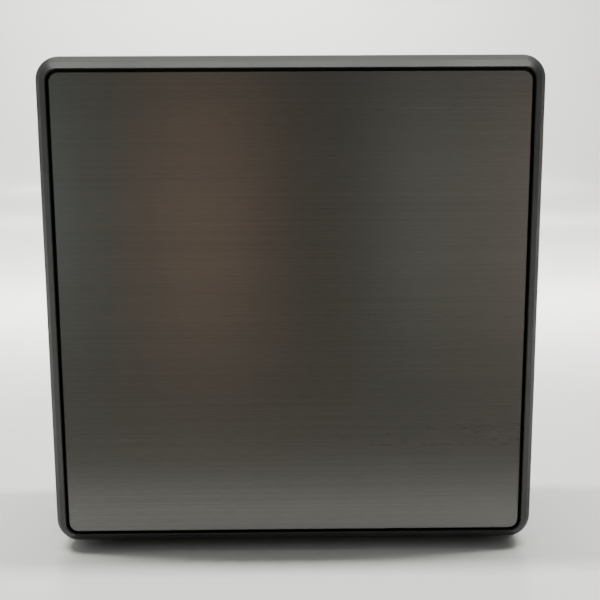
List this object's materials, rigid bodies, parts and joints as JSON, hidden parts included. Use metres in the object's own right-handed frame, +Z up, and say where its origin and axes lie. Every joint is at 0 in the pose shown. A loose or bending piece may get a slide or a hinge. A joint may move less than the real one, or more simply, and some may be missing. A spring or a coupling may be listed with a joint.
{
  "type": "mini pc",
  "caption": "Small square desktop computer stood on its edge, with a brushed dark metal lid plate in a black bevelled case, sockets on two sides and a sprung power button.",
  "frame": {"origin": "middle of the case's footprint, on the surface that the side wall's rubber strips stand on", "axes": "+Z up with the case stood on its edge, -Y out of the lid plate, +X out of the front panel with the power button, +Y out of the bottom cover with the feet"},
  "size_m": [0.128, 0.046, 0.13],
  "materials": {
    "case_plastic": "satin charcoal black, fine even texture",
    "lid_metal": "dark grey anodised, brushed in one direction",
    "inner_plastic": "matte black",
    "rubber": "matte black",
    "dark_screw": "black oxide",
    "board": "dark blue-green laminate",
    "steel": "plain stamped sheet",
    "light": "clear",
    "chip": "matte black",
    "aluminium": "plain",
    "copper": "bare copper"
  },
  "bodies": {
    "case": {"housing": "case_plastic", "bottom_cover": "case_plastic", "front_panel": "case_plastic", "rear_panel": "case_plastic", "power_switch": "inner_plastic", "light_pipe": "light", "reset_switch": "steel", "front_usb_1": "steel", "front_usb_2": "steel", "front_usb_c": "steel", "audio_jack": "inner_plastic", "rear_usb_1": "steel", "rear_usb_2": "steel", "hdmi_port": "steel", "display_port": "steel", "ethernet_port": "steel", "dc_jack": "inner_plastic", "side_strip_1": "rubber", "side_strip_2": "rubber", "rubber_foot_1": "rubber", "rubber_foot_2": "rubber", "rubber_foot_3": "rubber", "rubber_foot_4": "rubber", "cover_screw_1": "dark_screw", "cover_screw_2": "dark_screw", "cover_screw_3": "dark_screw", "cover_screw_4": "dark_screw", "lid_grommet_1": "rubber", "lid_grommet_2": "rubber", "lid_grommet_3": "rubber", "lid_grommet_4": "rubber", "motherboard": "board", "board_screw_1": "steel", "board_screw_2": "steel", "board_screw_3": "steel", "board_screw_4": "steel", "ram_socket": "inner_plastic", "ram_module_lower": "chip", "ram_module_upper": "chip", "ssd_socket": "inner_plastic", "ssd_card": "chip", "wifi_socket": "inner_plastic", "wifi_card": "chip", "coin_cell": "steel", "drive_bracket": "steel", "sata_drive": "aluminium", "drive_ribbon": "inner_plastic", "antenna_top": "copper", "antenna_bottom": "copper", "antenna_cable_top": "inner_plastic", "antenna_cable_bottom": "inner_plastic", "cpu_package": "chip", "cold_plate": "copper", "heat_sink": "aluminium", "fan_frame": "inner_plastic"},
    "lid": {"lid_plate": "lid_metal", "lid_tray": "inner_plastic"},
    "power_button": {"power_button": "case_plastic"},
    "reset_button": {"reset_button": "inner_plastic"},
    "fan_rotor": {"fan_rotor": "inner_plastic"}
  },
  "joints": [
    {"name": "lid_lift", "type": "slide", "parent": "case", "child": "lid", "axis": [0, -1, 0], "range_m": [0, 0.05]},
    {"name": "power_press", "type": "slide", "parent": "case", "child": "power_button", "axis": [-1, 0, 0], "range_m": [0, 0.0007], "stiffness_N_per_m": 2000, "springref_m": -0.0002},
    {"name": "reset_press", "type": "slide", "parent": "case", "child": "reset_button", "axis": [-1, 0, 0], "range_m": [0, 0.0004], "stiffness_N_per_m": 2000, "springref_m": -0.0002},
    {"name": "fan_spin", "type": "hinge", "parent": "case", "child": "fan_rotor", "pos_m": [0, 0.0162, 0.066], "axis": [0, 1, 0], "continuous": true}
  ]
}
